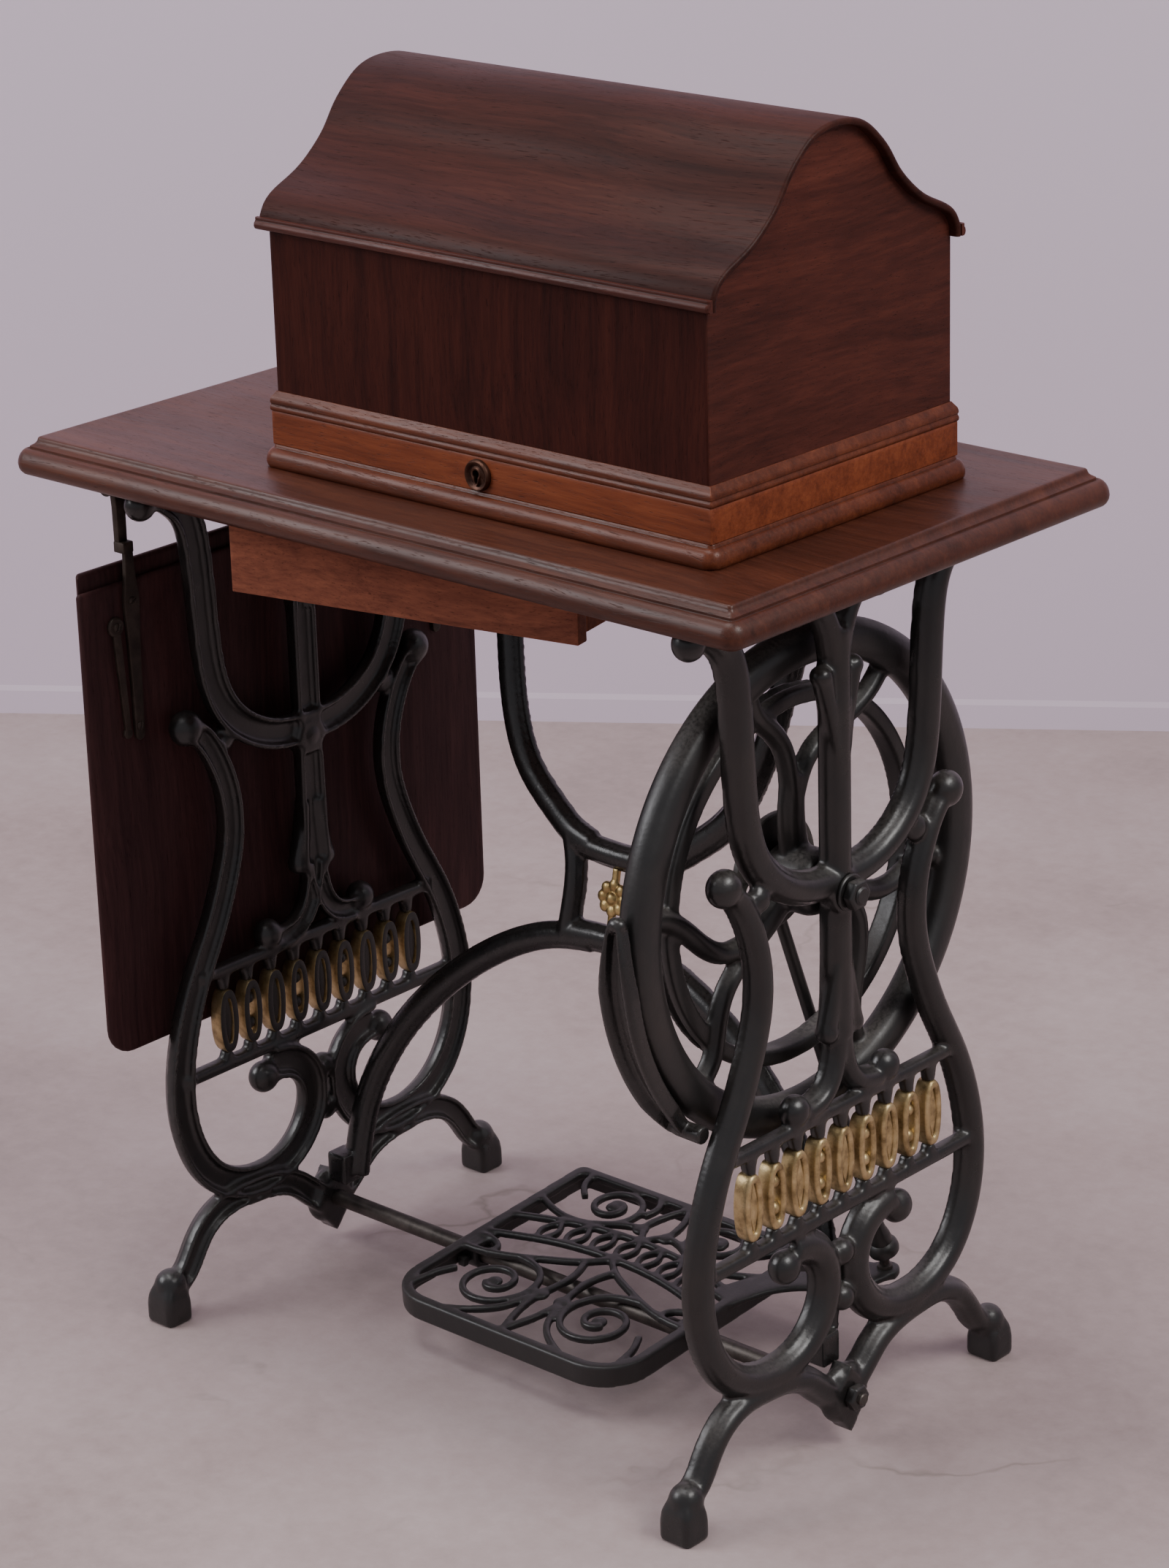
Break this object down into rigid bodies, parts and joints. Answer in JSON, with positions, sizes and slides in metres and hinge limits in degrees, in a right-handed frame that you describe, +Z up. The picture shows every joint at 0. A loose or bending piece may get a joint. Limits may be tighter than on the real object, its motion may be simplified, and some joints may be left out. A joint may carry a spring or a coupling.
{
  "type": "treadle sewing table",
  "caption": "Treadle sewing table: moulded wooden top, lift-off bonnet lid, hanging side leaf and swing drawer on scrolled cast-iron side frames with treadle, flywheel and brace.",
  "frame": {"origin": "on the floor, under the centre of the table top", "axes": "+X to the sitter's right, +Y from the sitter to the back, +Z up"},
  "size_m": [0.736, 0.442, 1.041],
  "materials": {
    "warm_walnut": "worn shellac, satin",
    "dark_walnut": "worn shellac, satin",
    "cast_iron": "old black enamel, satin",
    "old_gilding": "aged gold paint",
    "dark_bronze": "dark patina",
    "worn_steel": "dull, oiled"
  },
  "bodies": {
    "stand": {"table_top": "warm_walnut", "side_frame_left": "cast_iron", "side_frame_right": "cast_iron", "ornaments_left": "old_gilding", "ornaments_right": "old_gilding", "rod_nut_left": "cast_iron", "rod_nut_right": "cast_iron", "frame_lug_left_front": "cast_iron", "frame_lug_left_back": "cast_iron", "frame_lug_right_front": "cast_iron", "frame_lug_right_back": "cast_iron", "lug_screws": "worn_steel", "centre_brace": "cast_iron", "brace_ornament": "old_gilding", "brace_screws": "worn_steel", "treadle_rod": "cast_iron", "axle_stud": "worn_steel", "axle_washer": "worn_steel", "axle_nut": "cast_iron", "dress_guard": "cast_iron", "leaf_bracket_front": "cast_iron", "leaf_bracket_back": "cast_iron", "leaf_pin_front": "worn_steel", "leaf_pin_back": "worn_steel", "drawer_pin": "worn_steel"},
    "lid": {"lid_front": "dark_walnut", "lid_back": "dark_walnut", "lid_end_left": "dark_walnut", "lid_end_right": "dark_walnut", "lid_roof": "dark_walnut", "lid_bead": "warm_walnut", "lid_band": "warm_walnut", "lid_cove": "warm_walnut", "roof_bead_front": "warm_walnut", "roof_bead_back": "warm_walnut", "key_escutcheon": "dark_bronze", "lock_case": "dark_bronze"},
    "leaf": {"drop_leaf": "dark_walnut", "leaf_arm_front": "cast_iron", "leaf_arm_back": "cast_iron", "leaf_stay_front": "cast_iron", "leaf_stay_back": "cast_iron", "leaf_screws_front": "worn_steel", "leaf_screws_back": "worn_steel"},
    "drawer": {"drawer_front": "warm_walnut", "drawer_left": "dark_walnut", "drawer_right": "dark_walnut", "drawer_back": "dark_walnut", "drawer_floor": "dark_walnut", "drawer_block": "dark_walnut"},
    "treadle": {"treadle_plate": "cast_iron", "set_screw_left": "cast_iron", "set_screw_right": "cast_iron", "treadle_ball": "worn_steel"},
    "pitman": {"pitman_rod": "cast_iron", "pitman_cap": "worn_steel"},
    "wheel": {"flywheel": "cast_iron", "crank_disc": "cast_iron"}
  },
  "joints": [
    {"name": "lid_lift", "type": "slide", "parent": "stand", "child": "lid", "axis": [0, 0, 1], "range_m": [0, 0.3]},
    {"name": "leaf_fold", "type": "hinge", "parent": "stand", "child": "leaf", "pos_m": [-0.303, 0, 0.714], "axis": [0, 1, 0], "range_deg": [0, 90]},
    {"name": "drawer_swing", "type": "hinge", "parent": "stand", "child": "drawer", "pos_m": [0.08386, 0.02829, 0.69], "axis": [0, 0, 1], "range_deg": [-11.7, 45]},
    {"name": "treadle_rock", "type": "hinge", "parent": "stand", "child": "treadle", "pos_m": [0, -0.004, 0.044], "axis": [1, 0, 0], "range_deg": [-12, 2]},
    {"name": "pitman_swing", "type": "hinge", "parent": "treadle", "child": "pitman", "pos_m": [0.206, 0.14347, 0.08539], "axis": [1, 0, 0], "range_deg": [-2, 12]},
    {"name": "wheel_spin", "type": "hinge", "parent": "stand", "child": "wheel", "pos_m": [0.247, -0.004, 0.463], "axis": [1, 0, 0], "continuous": true}
  ],
  "couplings": [
    {"joint": "pitman_swing", "follows": "treadle_rock", "ratio": -1}
  ]
}
